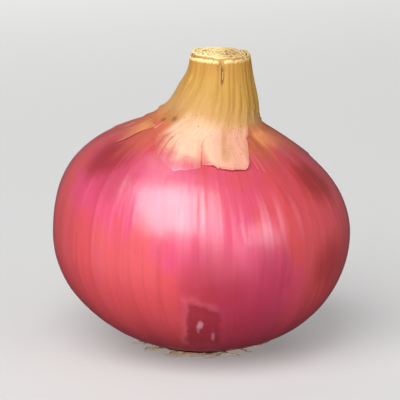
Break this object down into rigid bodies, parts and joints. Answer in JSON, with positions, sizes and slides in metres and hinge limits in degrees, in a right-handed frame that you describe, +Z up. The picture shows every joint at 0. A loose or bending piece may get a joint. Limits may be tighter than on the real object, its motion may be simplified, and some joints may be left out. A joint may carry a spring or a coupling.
{
  "type": "onion",
  "caption": "Whole pink-red onion bulb with its dried neck cut off square, standing on its root plate.",
  "frame": {"origin": "middle of the root plate's flat underside, where the onion stands", "axes": "+Z up from the root plate to the cut neck, +X towards the side that the neck sits nearer to, -Y towards the picture's viewer"},
  "size_m": [0.0651, 0.0641, 0.0653],
  "materials": {
    "onion_skin": "thin waxy pink-red onion skin, satin gloss, with fine veins from root to neck",
    "neck_skin": "dry straw-coloured papery skin",
    "cut_neck": "dry cut ends of the inner leaves",
    "root_plate": "dull corky brown",
    "dry_roots": "dry fibrous root ends"
  },
  "bodies": {
    "root": {"bulb": "onion_skin"}
  },
  "joints": []
}
